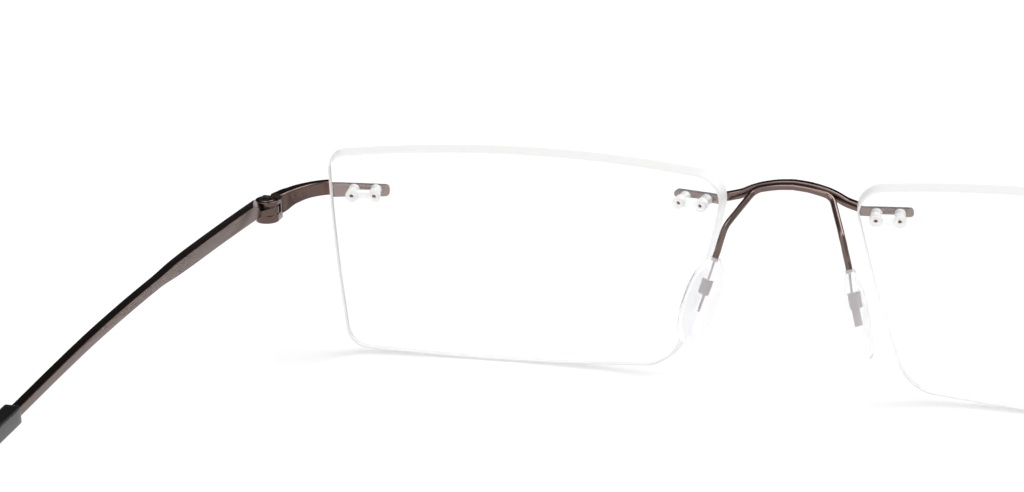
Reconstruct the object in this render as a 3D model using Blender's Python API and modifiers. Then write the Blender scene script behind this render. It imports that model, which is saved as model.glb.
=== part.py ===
"""Rimless eyeglasses, standing open on the lens bottoms and the two temple tips.

Lengths below are in millimetres and become metres in the meshes. +X is the wearer's left, +Y
points back along the temples and +Z is up. The left half is modelled and the right half is its
mirror copy; the bridge and the pad-arm wire cross the middle in one piece each.
"""
import math

import bmesh
import bpy
from mathutils import Matrix, Vector

MM = 0.001
UP = Vector((0.0, 0.0, 1.0))

# Lenses: a 55 x 30 shape, 17 apart at the top corners.
LENS_WIDTH = 51.5           # at the height of the lens centre
LENS_SPACING = 22.4         # between the nasal edges, at the same height
LENS_TOP = 13.15            # top edge above the lens centre
LENS_BOTTOM = 16.6          # bottom edge below the lens centre
LENS_THICKNESS = 2.3
LENS_RADIUS = 123.5         # of the back surface
LENS_WRAP = math.radians(2.0)
LENS_CENTRE_X = (LENS_SPACING + LENS_WIDTH) / 2
EDGE_TOP = (-0.0144, -0.0014)       # slope and bow of each edge
EDGE_BOTTOM = (-0.029, 0.0029)
EDGE_TEMPORAL = (0.066, -0.0034)
EDGE_NASAL = (-0.271, 0.0039)
CORNER_TOP_TEMPORAL = 2.1           # from a corner to where its rounding starts
CORNER_TOP_NASAL = 4.0
CORNER_BOTTOM_NASAL = 3.3
CORNER_BOTTOM_TEMPORAL = 2.3

# Drilled mounts: two pins in a clear double plug hold each plate to a lens.
NASAL_MOUNT = (-24.0, 8.9)          # middle of the two holes, from the lens centre
TEMPORAL_MOUNT = (21.45, 6.45)
HOLE_SPACING = 3.05
HOLE_RADIUS = 0.70
PLUG_RADIUS = 0.66
COLLAR_RADIUS = 0.85
COLLAR_HEIGHT = 1.40
COLLAR_GAP = 0.12                   # from the lens to the collars
PLUG_BAR = (0.60, 0.20, 1.05)       # half height, start and end behind the lens
BORE_RADIUS = 0.45
PIN_RADIUS = 0.42
BORE_TIP_RADIUS = 0.27              # the bore and the pin narrow behind the lens
PIN_TIP_RADIUS = 0.24
BORE_STEP = 0.55                    # where they do so
PLATE_GAP = 0.12                    # between a lens front and the flat plate before it
SOLDER_GAP = 0.02
PLATE_THICKNESS = 1.0
PLUG_RECESS = 0.1                   # of the tubes behind the lens front
PLUG_OVERLAP = 0.3                  # of the tubes into the collars
PIN_RECESS = 0.25                   # of the pins in the collars
DRILL_REACH = 4.0                   # of a drill past both faces

# Bridge and pad-arm wire.
BRIDGE_HEIGHT = 1.16
BRIDGE_ROUNDING = 0.22
BRIDGE_END_RADIUS = 0.5
PLATE_MIDDLE = 1.5                  # half of the plate's straight stretch
NASAL_PLATE_REACH = 3.3
CROWN_POINTS = ((7.9, -0.62, 26.32), (6.8, -0.80, 26.62), (5.5, -0.95, 27.23),
                (4.1, -1.0, 27.72), (2.1, -1.0, 28.16))
CROWN_TOP = (0.0, -1.0, 28.35)
WIRE_RADIUS = 0.43
ARM_POINTS = ((8.28, 5.80, 21.79), (7.90, 5.58, 23.20), (7.62, 5.34, 23.98), (7.30, 4.66, 24.54),
              (6.60, 3.10, 25.44), (5.90, 1.54, 26.33), (5.33, 0.34, 27.00),
              (4.75, 0.02, 27.40), (4.1, -0.01, 27.67), (2.1, -0.03, 28.10))
ARM_CROWN = (0.0, -0.03, 28.29)
WIRE_REACH = 0.45                   # how far the wire goes into a pad
WIRE_STRAIGHT = 0.9                 # and how far it runs straight above the pad

# Nose pads, hanging from the ends of the wire.
PAD_TOP = Vector((8.80, 6.10, 19.9))
PAD_BOTTOM = Vector((11.98, 9.25, 9.05))
PAD_FACING = Vector((-0.866, 0.5, 0.0))
PAD_SECTIONS = ((0.00, 0.68, 0.62), (0.06, 1.45, 0.74), (0.13, 2.20, 0.86), (0.25, 2.85, 0.95),
                (0.38, 3.15, 0.98), (0.52, 3.20, 0.98), (0.66, 3.05, 0.98), (0.80, 2.60, 0.95),
                (0.91, 1.95, 0.86), (0.975, 1.30, 0.64), (1.00, 0.80, 0.40))
MOUNT_HEAD = (3.0, 5.0, 0.45, 0.72) # start, end, half width and half depth of the metal in a pad
MOUNT_BLADE = (4.5, 7.3, 0.16, 0.72)
MOUNT_TURN = math.radians(30)       # of the blade about the pad's axis
MOUNT_STEM_RADIUS = 0.14
POCKET_GAP = 0.05
STEM_GAP = 0.1                      # between the wire's end and the stem
STEM_OVERLAP = 0.5                  # of the stem into the blade

# End pieces, from the temporal plates back to the hinges.
END_PIECE_PATH = ((64.3, 1.20, 23.15), (65.6, 2.00, 23.11), (66.7, 3.00, 23.04),
                  (67.6, 4.25, 22.94), (68.3, 5.60, 22.80), (68.75, 6.80, 22.64),
                  (69.02, 7.3, 22.56), (69.06, 7.5, 22.55), (69.06, 7.64, 22.55))
END_PIECE_HALF_THICKNESS = ((0.0, 0.50), (0.42, 0.50), (0.56, 0.60), (0.80, 0.76), (1.0, 0.84))
END_PIECE_HALF_HEIGHT = ((0.0, 0.80), (0.35, 0.95), (0.50, 0.99), (0.68, 0.99), (0.82, 1.10),
                         (0.92, 1.32), (1.0, 1.40))
TEMPORAL_PLATE_DROP = 0.36          # the plate's middle below the pins' height
TEMPORAL_PLATE_INNER = 3.3          # from the plate's middle to its inner end
TEMPORAL_PLATE_OUTER = 3.9
END_PIECE_END_RADIUS = 0.6
END_PIECE_ROUNDING = 0.25

# Hinges.
HINGE = Vector((69.8, 9.3, 0.0))
BARREL_RADIUS = 1.60
SWING_RADIUS = 1.85                 # cleared round the middle knuckle
LOWER_KNUCKLE = (20.70, 21.75)
MIDDLE_KNUCKLE = (21.90, 22.88)
UPPER_KNUCKLE = (23.02, 23.70)
WASHERS = {"lower": (21.775, 21.875), "upper": (22.905, 22.995)}
WASHER_RADIUS = 1.45
SCREW_RADIUS = 0.55
SCREW_BORE_RADIUS = 0.59
SCREW_HEAD = (1.05, 23.34, 23.76)   # radius, underside, top
COUNTERBORE_RADIUS = 1.10
SLOT = (0.30, 0.16)                 # width and depth of the driver slot
FRONT_BLOCK = ((68.22, 7.67), (70.95, 9.3))
REAR_BLOCK = ((69.35, 9.3), (68.67, 10.43), (69.58, 12.0), (69.58, 10.96), (70.65, 10.96),
              (70.65, 9.3))

# Temples and their tips.
TEMPLE_PATH = ((70.30, 11.0, 23.06), (70.35, 15.0, 23.31), (70.40, 24.0, 23.80),
               (70.35, 32.0, 24.24), (70.3, 38.0, 24.55), (70.22, 42.0, 24.78),
               (70.1, 46.0, 24.98), (69.9, 53.0, 25.22), (69.65, 60.0, 25.40),
               (69.4, 67.0, 25.48), (69.05, 76.0, 25.41), (68.58, 87.4, 25.23),
               (68.3, 95.0, 25.17), (68.05, 102.0, 24.95), (67.8, 108.5, 23.92),
               (67.6, 114.2, 21.4), (67.4, 119.2, 17.5), (67.2, 123.8, 12.8),
               (67.05, 128.1, 8.1), (66.9, 131.8, 3.85), (66.8, 134.8, -0.2))
TEMPLE_STEPS = 2                    # stations per stretch of the path
TEMPLE_SLOPE = ((69.6, 11.0, 22.95), (71.0, 11.0, 24.2), (69.62, 14.8, 24.36))     # of its front end
TEMPLE_HALF_THICKNESS = ((0.0, 0.70), (0.18, 0.69), (0.26, 0.62), (0.61, 0.60), (0.67, 0.46),
                         (1.0, 0.46))
TEMPLE_HALF_HEIGHT = ((0.0, 1.08), (0.18, 1.02), (0.215, 0.96), (0.265, 0.71), (0.55, 0.62),
                      (0.61, 0.61), (0.67, 0.46), (1.0, 0.46))
SLEEVE_START = 11                   # the path point where the tip begins
CORE_END = 19                       # the path point where the metal core ends
SLEEVE_HALF_THICKNESS = ((0.0, 1.06), (0.5, 1.10), (0.9, 1.15), (1.0, 1.10))
SLEEVE_HALF_HEIGHT = ((0.0, 1.16), (0.35, 1.38), (0.8, 1.95), (1.0, 1.90))
SLEEVE_CORNER = ((0.0, 0.45), (0.25, 0.60), (0.5, 0.95), (1.0, 0.99))
SLEEVE_BORE_GAP = 0.05
CORE_END_GAP = 0.3
TEMPLE_ROUNDING = 0.18
TIP_ROUNDING = 1.5
FOOT_CUTTER = ((60, 120, -5), (75, 145, 0))     # takes off what is below the floor
CUT_MARGIN = 1.0                    # of a cutter past the solid that it cuts

COLOURS = {
    "bronze": ((0.115, 0.083, 0.075), 0.32, 1.0),
    "steel": ((0.10, 0.08, 0.075), 0.30, 1.0),
    "lens": ((0.93, 0.97, 0.95), 0.03, 0.0),
    "clear_plastic": ((0.95, 0.95, 0.97), 0.15, 0.0),
    "silicone": ((0.90, 0.90, 0.95), 0.25, 0.0),
    "black_plastic": ((0.012, 0.012, 0.013), 0.18, 0.0),
}
PARTS = "eyeglasses"
CUTTERS = "cutters"


def clear_scene():
    for item in list(bpy.data.objects):
        bpy.data.objects.remove(item)
    for name in (PARTS, CUTTERS):
        bpy.context.scene.collection.children.link(bpy.data.collections.new(name))


def make_material(name):
    colour, roughness, metallic = COLOURS[name]
    material = bpy.data.materials.get(name) or bpy.data.materials.new(name)
    material.use_nodes = True
    shader = material.node_tree.nodes["Principled BSDF"]
    shader.inputs["Base Color"].default_value = (*colour, 1.0)
    shader.inputs["Roughness"].default_value = roughness
    shader.inputs["Metallic"].default_value = metallic
    return material


def new_object(name, bm, material=None):
    """An object from a bmesh: a part when it has a material, or else a cutter."""
    mesh = bpy.data.meshes.new(name)
    bmesh.ops.recalc_face_normals(bm, faces=bm.faces)
    bm.to_mesh(mesh)
    bm.free()
    mesh.shade_smooth()
    mesh.set_sharp_from_angle(angle=math.radians(35))
    item = bpy.data.objects.new(name, mesh)
    bpy.data.collections[PARTS if material else CUTTERS].objects.link(item)
    if material:
        mesh.materials.append(make_material(material))
    else:
        item.hide_render = True
        item.display_type = "WIRE"
    return item


def cut(item, tool, operation="DIFFERENCE"):
    modifier = item.modifiers.new(tool.name, "BOOLEAN")
    modifier.operation = operation
    modifier.object = tool


def add_cylinder(bm, start, end, radius, segments=12):
    """A cylinder between two points."""
    axis = end - start
    turn = UP.rotation_difference(axis.normalized()).to_matrix().to_4x4()
    place = Matrix.Translation((start + end) / 2 * MM) @ turn
    bmesh.ops.create_cone(bm, cap_ends=True, segments=segments, radius1=radius * MM,
                          radius2=radius * MM, depth=axis.length * MM, matrix=place)


def add_box(bm, low, high):
    low, high = Vector(low), Vector(high)
    size = Matrix.Diagonal((*((high - low) * MM), 1.0))
    bmesh.ops.create_cube(bm, size=1.0, matrix=Matrix.Translation((low + high) / 2 * MM) @ size)


def add_prism(bm, outline, depth):
    """A solid between a flat outline and its copy moved by a vector."""
    low = [bm.verts.new(point * MM) for point in outline]
    high = [bm.verts.new((point + depth) * MM) for point in outline]
    for i in range(len(low)):
        j = (i + 1) % len(low)
        bm.faces.new((low[i], low[j], high[j], high[i]))
    bm.faces.new(low)
    bm.faces.new(high)


def read_table(table, place):
    """The value at a place in a table of (place, value) rows, on straight lines between."""
    for (start, low), (end, high) in zip(table, table[1:]):
        if place <= end:
            return low + (high - low) * (place - start) / (end - start)
    return table[-1][1]


def smooth_path(points, steps):
    """A Catmull-Rom curve through the points, with the given steps in each stretch."""
    points = [Vector(point) for point in points]
    path = []
    for i in range(len(points) - 1):
        a = points[max(i - 1, 0)]
        b, c = points[i], points[i + 1]
        d = points[min(i + 2, len(points) - 1)]
        for step in range(steps):
            t = step / steps
            path.append(0.5 * (2 * b + (c - a) * t + (2 * a - 5 * b + 4 * c - d) * t ** 2
                               + (3 * b - a - 3 * c + d) * t ** 3))
    return path + [points[-1]]


def path_shares(path):
    """How far along the path each point lies, from 0 to 1."""
    lengths = [0.0]
    for before, after in zip(path, path[1:]):
        lengths.append(lengths[-1] + (after - before).length)
    return [length / lengths[-1] for length in lengths]


def rounded_ring(half_width, half_height, radius, corner_steps):
    ring = []
    for corner in range(4):
        start = 90 * corner
        x_sign = 1 if corner in (0, 3) else -1
        y_sign = 1 if corner in (0, 1) else -1
        for step in range(corner_steps + 1):
            angle = math.radians(start + 90 * step / corner_steps)
            ring.append((x_sign * (half_width - radius) + radius * math.cos(angle),
                         y_sign * (half_height - radius) + radius * math.sin(angle)))
    return ring


def add_sweep(bm, path, sections, up=UP, corner_steps=2):
    """A closed loft along a path; a section is its half width, half height and corner radius."""
    rings = []
    for i, (centre, section) in enumerate(zip(path, sections)):
        tangent = (path[min(i + 1, len(path) - 1)] - path[max(i - 1, 0)]).normalized()
        side = tangent.cross(up).normalized()
        lift = side.cross(tangent)
        ring = rounded_ring(*section, corner_steps)
        rings.append([bm.verts.new((centre + side * x + lift * y) * MM) for x, y in ring])
    count = len(rings[0])
    for ring, following in zip(rings, rings[1:]):
        for i in range(count):
            j = (i + 1) % count
            bm.faces.new((ring[i], ring[j], following[j], following[i]))
    bm.faces.new(rings[0])
    bm.faces.new(rings[-1])


def mirror_part(item, name, parent=None):
    """The right-hand copy of a finished left-hand part."""
    evaluated = item.evaluated_get(bpy.context.evaluated_depsgraph_get())
    mesh = bpy.data.meshes.new_from_object(evaluated)
    mesh.transform(Matrix.Scale(-1.0, 4, (1.0, 0.0, 0.0)) @ item.matrix_world)
    mesh.flip_normals()
    mesh.name = name
    copy = bpy.data.objects.new(name, mesh)
    bpy.data.collections[PARTS].objects.link(copy)
    if parent:
        attach(copy, parent)
    return copy


def attach(item, parent):
    """Parents an item whose mesh is already in its place."""
    item.parent = parent
    item.matrix_parent_inverse = parent.matrix_world.inverted()


def make_axis(name, location):
    axis = bpy.data.objects.new(name, None)
    axis.location = location * MM
    axis.empty_display_size = 3 * MM
    bpy.data.collections[PARTS].objects.link(axis)
    bpy.context.view_layer.update()
    return axis


# ---------------------------------------------------------------- lenses

def edge_crossing(row, column):
    """Where a top or bottom edge v(u) meets a side edge u(v)."""
    u = column[0]
    for _ in range(20):
        v = row[0] + row[1] * u + row[2] * u * u
        u = column[0] + column[1] * v + column[2] * v * v
    return Vector((u, v))


def lens_outline(edge_steps=7, corner_steps=4):
    """The lens shape seen from behind, as points round its centre."""
    half = LENS_WIDTH / 2
    rows = ((LENS_TOP, *EDGE_TOP), (-LENS_BOTTOM, *EDGE_BOTTOM))
    columns = ((half, *EDGE_TEMPORAL), (-half, *EDGE_NASAL))
    corners = (edge_crossing(rows[0], columns[0]), edge_crossing(rows[0], columns[1]),
               edge_crossing(rows[1], columns[1]), edge_crossing(rows[1], columns[0]))
    radii = (CORNER_TOP_TEMPORAL, CORNER_TOP_NASAL, CORNER_BOTTOM_NASAL, CORNER_BOTTOM_TEMPORAL)
    edges = (rows[0], columns[1], rows[1], columns[0])
    outline = []
    for i, edge in enumerate(edges):
        start, end = corners[i], corners[(i + 1) % 4]
        along = end - start
        first = radii[i] / along.length
        last = 1 - radii[(i + 1) % 4] / along.length
        stretch = []
        for step in range(edge_steps + 1):
            place = start + along * (first + (last - first) * step / edge_steps)
            if i % 2 == 0:
                place.y = edge[0] + edge[1] * place.x + edge[2] * place.x ** 2
            else:
                place.x = edge[0] + edge[1] * place.y + edge[2] * place.y ** 2
            stretch.append(place)
        if outline:
            outline += round_corner(outline[-1], start, stretch[0], corner_steps)
        outline += stretch
    return outline + round_corner(outline[-1], corners[0], outline[0], corner_steps)


def round_corner(start, corner, end, steps):
    """The points between two edges, on a Bezier arc that stays inside their corner."""
    pull = 0.55
    first, second = start.lerp(corner, pull), end.lerp(corner, pull)
    points = []
    for step in range(1, steps):
        t = step / steps
        points.append(start * (1 - t) ** 3 + first * 3 * t * (1 - t) ** 2
                      + second * 3 * t * t * (1 - t) + end * t ** 3)
    return points


def back_surface(u, v):
    """A point of the lens's back surface in the lens's own frame."""
    return Vector((u, LENS_RADIUS - math.sqrt(LENS_RADIUS ** 2 - u * u - v * v), v))


def lens_surface(ring_shares=(1.0, 0.75, 0.45)):
    """The back surface: rings that shrink from the outline, and a face that closes the last."""
    bm = bmesh.new()
    outline = lens_outline()
    rings = []
    for share in ring_shares:
        rings.append([bm.verts.new(back_surface(*(point * share)) * MM) for point in outline])
    for outer, inner in zip(rings, rings[1:]):
        for i in range(len(outline)):
            j = (i + 1) % len(outline)
            bm.faces.new((outer[i], outer[j], inner[j], inner[i]))
    bmesh.ops.triangle_fill(bm, use_beauty=True, edges=[e for e in bm.edges if e.is_boundary
                            and e.verts[0] in rings[-1] and e.verts[1] in rings[-1]])
    bmesh.ops.recalc_face_normals(bm, faces=bm.faces)
    return bm


def lens_placement(height=0.0):
    turn = Matrix.Rotation(LENS_WRAP, 4, "Z")
    return Matrix.Translation(Vector((LENS_CENTRE_X, 0.0, height))) @ turn


def mount_frame(place, lens_height):
    """A mount on the lens: its middle on the back surface, and the directions along the plate,
    up the lens and straight back out of it."""
    middle = back_surface(*place)
    back = (Vector((0.0, LENS_RADIUS, 0.0)) - middle).normalized()
    along = back.cross(UP).normalized()
    up = along.cross(back)
    placement = lens_placement(lens_height)
    turn = placement.to_3x3()
    return placement @ middle, turn @ along, turn @ up, turn @ back


def make_lens():
    bm = lens_surface()
    lens = new_object("lens_left", bm, "lens")
    shell = lens.modifiers.new("thickness", "SOLIDIFY")
    shell.thickness = LENS_THICKNESS * MM
    shell.offset = -1.0 if lens.data.polygons[0].normal.y > 0 else 1.0
    lens.rotation_euler.z = LENS_WRAP
    lens.location.x = LENS_CENTRE_X * MM
    evaluated = lens.evaluated_get(bpy.context.evaluated_depsgraph_get())
    height = -min(vertex.co.z for vertex in evaluated.data.vertices)
    lens.location.z = height
    bpy.context.view_layer.update()
    return lens, height / MM


# ---------------------------------------------------------------- drilled mounts

def make_mount(label, frame, lens):
    """Drills a lens, and makes the clear double plug and its two pins."""
    middle, along, up, back = frame
    holes = [middle + along * HOLE_SPACING / 2 * side for side in (-1, 1)]
    drill = bmesh.new()
    for hole in holes:
        add_cylinder(drill, hole - back * DRILL_REACH, hole + back * DRILL_REACH, HOLE_RADIUS)
    cut(lens, new_object(f"drill_{label}", drill))

    plug = bmesh.new()
    half, start, end = PLUG_BAR
    bar_low = Vector((-HOLE_SPACING / 2, start, -half))
    bar_high = Vector((HOLE_SPACING / 2, end, half))
    add_box(plug, bar_low, bar_high)
    basis = Matrix((along, back, up)).transposed().to_4x4()
    bmesh.ops.transform(plug, matrix=Matrix.Translation(middle * MM) @ basis, verts=plug.verts)
    plug_item = new_object(f"{label}_plug_left", plug, "clear_plastic")
    for number, hole in enumerate(holes):
        tube = bmesh.new()
        add_cylinder(tube, hole - back * (LENS_THICKNESS - PLUG_RECESS),
                     hole + back * PLUG_OVERLAP, PLUG_RADIUS)
        collar = bmesh.new()
        add_cylinder(collar, hole + back * COLLAR_GAP, hole + back * COLLAR_HEIGHT, COLLAR_RADIUS)
        for part_label, shape in (("tube", tube), ("collar", collar)):
            cut(plug_item, new_object(f"{label}_{part_label}_{number}", shape), "UNION")
    bore = bmesh.new()
    for hole in holes:
        add_cylinder(bore, hole - back * DRILL_REACH, hole + back * BORE_STEP, BORE_RADIUS)
    cut(plug_item, new_object(f"{label}_bore", bore))
    bore_tip = bmesh.new()
    for hole in holes:
        add_cylinder(bore_tip, hole, hole + back * DRILL_REACH, BORE_TIP_RADIUS)
    cut(plug_item, new_object(f"{label}_bore_tip", bore_tip))

    pins = []
    for number, hole in enumerate(holes):
        pin = bmesh.new()
        add_cylinder(pin, hole - back * (LENS_THICKNESS + PLATE_GAP - SOLDER_GAP),
                     hole + back * (BORE_STEP - SOLDER_GAP), PIN_RADIUS)
        pin_item = new_object(f"{label}_pin_{number + 1}_left", pin, "bronze")
        tip = bmesh.new()
        add_cylinder(tip, hole, hole + back * (COLLAR_HEIGHT - PIN_RECESS), PIN_TIP_RADIUS)
        cut(pin_item, new_object(f"{label}_pin_tip_{number}", tip), "UNION")
        pins.append(pin_item)
    return [plug_item] + pins


def plate_centre(frame, drop=0.0):
    middle, along, up, back = frame
    return middle - back * (LENS_THICKNESS + PLATE_GAP + PLATE_THICKNESS / 2) - up * drop


def rounded_end(half_height, radius, distance):
    """The half height of a plate near its rounded end."""
    inward = max(radius - distance, 0.0)
    return half_height - radius + math.sqrt(radius * radius - inward * inward)


# ---------------------------------------------------------------- bridge, wire and pads

def make_bridge(frame):
    along = frame[1]
    centre = plate_centre(frame)
    ends = (0.0, 0.1, 0.25, BRIDGE_END_RADIUS)
    plate = [centre + along * (NASAL_PLATE_REACH - step) for step in ends]
    plate += [centre + along * step for step in (PLATE_MIDDLE, 0.0, -PLATE_MIDDLE)]
    arch = smooth_path((plate[-1], centre - along * NASAL_PLATE_REACH,
                        *CROWN_POINTS, CROWN_TOP), 2)[1:-1]
    left = plate + arch
    half = BRIDGE_HEIGHT / 2
    heights = [rounded_end(half, BRIDGE_END_RADIUS, step) for step in ends]
    heights += [half] * (len(left) - len(ends))
    path = left + [Vector(CROWN_TOP)]
    path += [Vector((-point.x, point.y, point.z)) for point in reversed(left)]
    heights = heights + [half] + heights[::-1]
    sections = [(PLATE_THICKNESS / 2, height, min(BRIDGE_ROUNDING, height * 0.6))
                for height in heights]
    bm = bmesh.new()
    add_sweep(bm, path, sections)
    return new_object("bridge", bm, "bronze")


def make_wire():
    """One wire from pad to pad, behind the arch of the bridge."""
    axis = pad_frame()[0]
    in_pad = [PAD_TOP + axis * reach for reach in (WIRE_REACH, 0.0, -WIRE_STRAIGHT)]
    left = smooth_path((*in_pad, *ARM_POINTS, ARM_CROWN), 2)[:-1]
    path = left + [Vector(ARM_CROWN)]
    path += [Vector((-point.x, point.y, point.z)) for point in reversed(left)]
    curve = bpy.data.curves.new("pad_arm_wire", "CURVE")
    curve.dimensions = "3D"
    curve.bevel_depth = WIRE_RADIUS * MM
    curve.bevel_resolution = 2
    curve.use_fill_caps = True
    spline = curve.splines.new("POLY")
    spline.points.add(len(path) - 1)
    for spot, point in zip(spline.points, path):
        spot.co = (*(point * MM), 1.0)
    curve.materials.append(make_material("bronze"))
    wire = bpy.data.objects.new("pad_arm_wire", curve)
    bpy.data.collections[PARTS].objects.link(wire)
    return wire


def pad_frame():
    axis = (PAD_BOTTOM - PAD_TOP).normalized()
    facing = (PAD_FACING - axis * PAD_FACING.dot(axis)).normalized()
    return axis, facing


def add_pad_bar(bm, start, end, half_width, half_depth, turn=0.0):
    """A straight bar along the pad's own axis."""
    axis, facing = pad_frame()
    up = Matrix.Rotation(turn, 3, axis) @ facing
    path = [PAD_TOP + axis * start, PAD_TOP + axis * (start + end) / 2, PAD_TOP + axis * end]
    corner = min(half_width, half_depth) * 0.35
    add_sweep(bm, path, [(half_width, half_depth, corner)] * 3, up=up, corner_steps=1)


def make_pad_metal(name, gap=0.0, material=None):
    """The metal in the pad: a head and a flat blade turned about the pad's axis."""
    shapes = []
    for bar, turn in ((MOUNT_HEAD, 0.0), (MOUNT_BLADE, MOUNT_TURN)):
        start, end, half_width, half_depth = bar
        shape = bmesh.new()
        add_pad_bar(shape, start - gap, end + gap, half_width + gap, half_depth + gap, turn)
        shapes.append(shape)
    item = new_object(name, shapes[0], material)
    cut(item, new_object(f"{name}_blade", shapes[1]), "UNION")
    return item


def make_pad():
    """A soft clear pad with a pocket for the metal blade on the wire's end."""
    axis, facing = pad_frame()
    length = (PAD_BOTTOM - PAD_TOP).length
    path = [PAD_TOP + axis * length * share for share, _, _ in PAD_SECTIONS]
    sections = [(width, depth, min(width, depth) * 0.95) for _, width, depth in PAD_SECTIONS]
    bm = bmesh.new()
    add_sweep(bm, path, sections, up=facing, corner_steps=3)
    pad = new_object("nose_pad_left", bm, "silicone")

    cut(pad, make_pad_metal("pad_pocket", POCKET_GAP))
    stem_end = PAD_TOP + axis * (MOUNT_HEAD[0] + STEM_OVERLAP)
    for label, start, end, radius in (
            ("wire", PAD_TOP - axis * CUT_MARGIN, PAD_TOP + axis * (WIRE_REACH + STEM_GAP / 2),
             WIRE_RADIUS + POCKET_GAP),
            ("stem", PAD_TOP, stem_end, MOUNT_STEM_RADIUS + POCKET_GAP)):
        entry = bmesh.new()
        add_cylinder(entry, start, end, radius)
        cut(pad, new_object(f"pad_entry_{label}", entry))

    mount = make_pad_metal("pad_mount_left", material="bronze")
    stem = bmesh.new()
    add_cylinder(stem, PAD_TOP + axis * (WIRE_REACH + STEM_GAP), stem_end, MOUNT_STEM_RADIUS)
    cut(mount, new_object("pad_stem", stem), "UNION")
    return pad, mount


# ---------------------------------------------------------------- end pieces, hinges and temples

def make_end_piece(frame):
    along = frame[1]
    centre = plate_centre(frame, TEMPORAL_PLATE_DROP)
    ends = (0.0, 0.12, 0.3, END_PIECE_END_RADIUS)
    inner_end = centre - along * TEMPORAL_PLATE_INNER
    path = [inner_end + along * step for step in ends]
    path += smooth_path((inner_end + along * 2 * END_PIECE_END_RADIUS, centre,
                         centre + along * TEMPORAL_PLATE_OUTER / 2,
                         centre + along * TEMPORAL_PLATE_OUTER, *END_PIECE_PATH), 2)
    sections = []
    for share, point in zip(path_shares(path), path):
        thickness = read_table(END_PIECE_HALF_THICKNESS, share)
        height = rounded_end(read_table(END_PIECE_HALF_HEIGHT, share), END_PIECE_END_RADIUS,
                             (point - inner_end).length)
        sections.append((thickness, height, END_PIECE_ROUNDING))
    bm = bmesh.new()
    add_sweep(bm, path, sections)
    return new_object("end_piece_left", bm, "bronze")


def at_height(height):
    return HINGE + UP * height


def make_hinge_front():
    """The two outer knuckles on one block, brazed to the end piece."""
    (low_x, low_y), (high_x, high_y) = FRONT_BLOCK
    block = bmesh.new()
    add_box(block, (low_x, low_y, LOWER_KNUCKLE[0]), (high_x, high_y, UPPER_KNUCKLE[1]))
    item = new_object("hinge_front_left", block, "bronze")
    barrel = bmesh.new()
    add_cylinder(barrel, at_height(LOWER_KNUCKLE[0]), at_height(UPPER_KNUCKLE[1]),
                 BARREL_RADIUS, 24)
    cut(item, new_object("front_barrel", barrel), "UNION")
    gap = bmesh.new()
    add_cylinder(gap, at_height(LOWER_KNUCKLE[1]), at_height(UPPER_KNUCKLE[0]),
                 SWING_RADIUS, 24)
    cut(item, new_object("front_gap", gap))
    bore = bmesh.new()
    add_cylinder(bore, at_height(LOWER_KNUCKLE[0] - CUT_MARGIN),
                 at_height(UPPER_KNUCKLE[1] + CUT_MARGIN), SCREW_BORE_RADIUS)
    cut(item, new_object("front_bore", bore))
    seat = bmesh.new()
    add_cylinder(seat, at_height(SCREW_HEAD[1] - SOLDER_GAP),
                 at_height(UPPER_KNUCKLE[1] + CUT_MARGIN), COUNTERBORE_RADIUS, 20)
    cut(item, new_object("screw_seat", seat))
    return item


def make_hinge_rear():
    """The middle knuckle, brazed to the temple."""
    block = bmesh.new()
    foot = [Vector((x, y, MIDDLE_KNUCKLE[0])) for x, y in REAR_BLOCK]
    add_prism(block, foot, UP * (MIDDLE_KNUCKLE[1] - MIDDLE_KNUCKLE[0]))
    item = new_object("hinge_rear_left", block, "bronze")
    barrel = bmesh.new()
    add_cylinder(barrel, at_height(MIDDLE_KNUCKLE[0]), at_height(MIDDLE_KNUCKLE[1]),
                 BARREL_RADIUS, 24)
    cut(item, new_object("rear_barrel", barrel), "UNION")
    bore = bmesh.new()
    add_cylinder(bore, at_height(MIDDLE_KNUCKLE[0] - CUT_MARGIN),
                 at_height(MIDDLE_KNUCKLE[1] + CUT_MARGIN), SCREW_BORE_RADIUS)
    cut(item, new_object("rear_bore", bore))
    return item


def make_washer(label, low, high):
    ring = bmesh.new()
    add_cylinder(ring, at_height(low), at_height(high), WASHER_RADIUS, 24)
    item = new_object(f"hinge_washer_{label}_left", ring, "steel")
    bore = bmesh.new()
    add_cylinder(bore, at_height(low - CUT_MARGIN), at_height(high + CUT_MARGIN),
                 SCREW_BORE_RADIUS)
    cut(item, new_object(f"washer_bore_{label}", bore))
    return item


def make_screw():
    radius, underside, top = SCREW_HEAD
    head = bmesh.new()
    add_cylinder(head, at_height(underside), at_height(top), radius, 20)
    item = new_object("hinge_screw_left", head, "steel")
    shank = bmesh.new()
    add_cylinder(shank, at_height(LOWER_KNUCKLE[0] + 0.05), at_height(underside + 0.2),
                 SCREW_RADIUS)
    cut(item, new_object("screw_shank", shank), "UNION")
    width, depth = SLOT
    slot = bmesh.new()
    add_box(slot, (-3, -width / 2, top - depth), (3, width / 2, top + 1))
    turn = Matrix.Rotation(math.radians(25), 4, "Z")
    bmesh.ops.transform(slot, matrix=Matrix.Translation(HINGE * MM) @ turn, verts=slot.verts)
    cut(item, new_object("screw_slot", slot))
    return item


def make_temple():
    """The metal temple, whose thin rear end is the core of the tip."""
    path = smooth_path(TEMPLE_PATH[:CORE_END + 1], TEMPLE_STEPS)
    shares = path_shares(path)
    sections = []
    for share in shares:
        thickness = read_table(TEMPLE_HALF_THICKNESS, share)
        height = read_table(TEMPLE_HALF_HEIGHT, share)
        sections.append((thickness, height, TEMPLE_ROUNDING))
    bm = bmesh.new()
    add_sweep(bm, path, sections)
    item = new_object("temple_left", bm, "bronze")

    corner, side, rear = (Vector(point) for point in TEMPLE_SLOPE)
    across, along = side - corner, rear - corner
    outline = [corner - across - along, corner + across * 2 - along,
               corner + across * 2 + along * 2, corner - across + along * 2]
    slope = bmesh.new()
    add_prism(slope, outline, across.cross(along).normalized() * 3)
    cut(item, new_object("temple_slope", slope))
    return item


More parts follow.
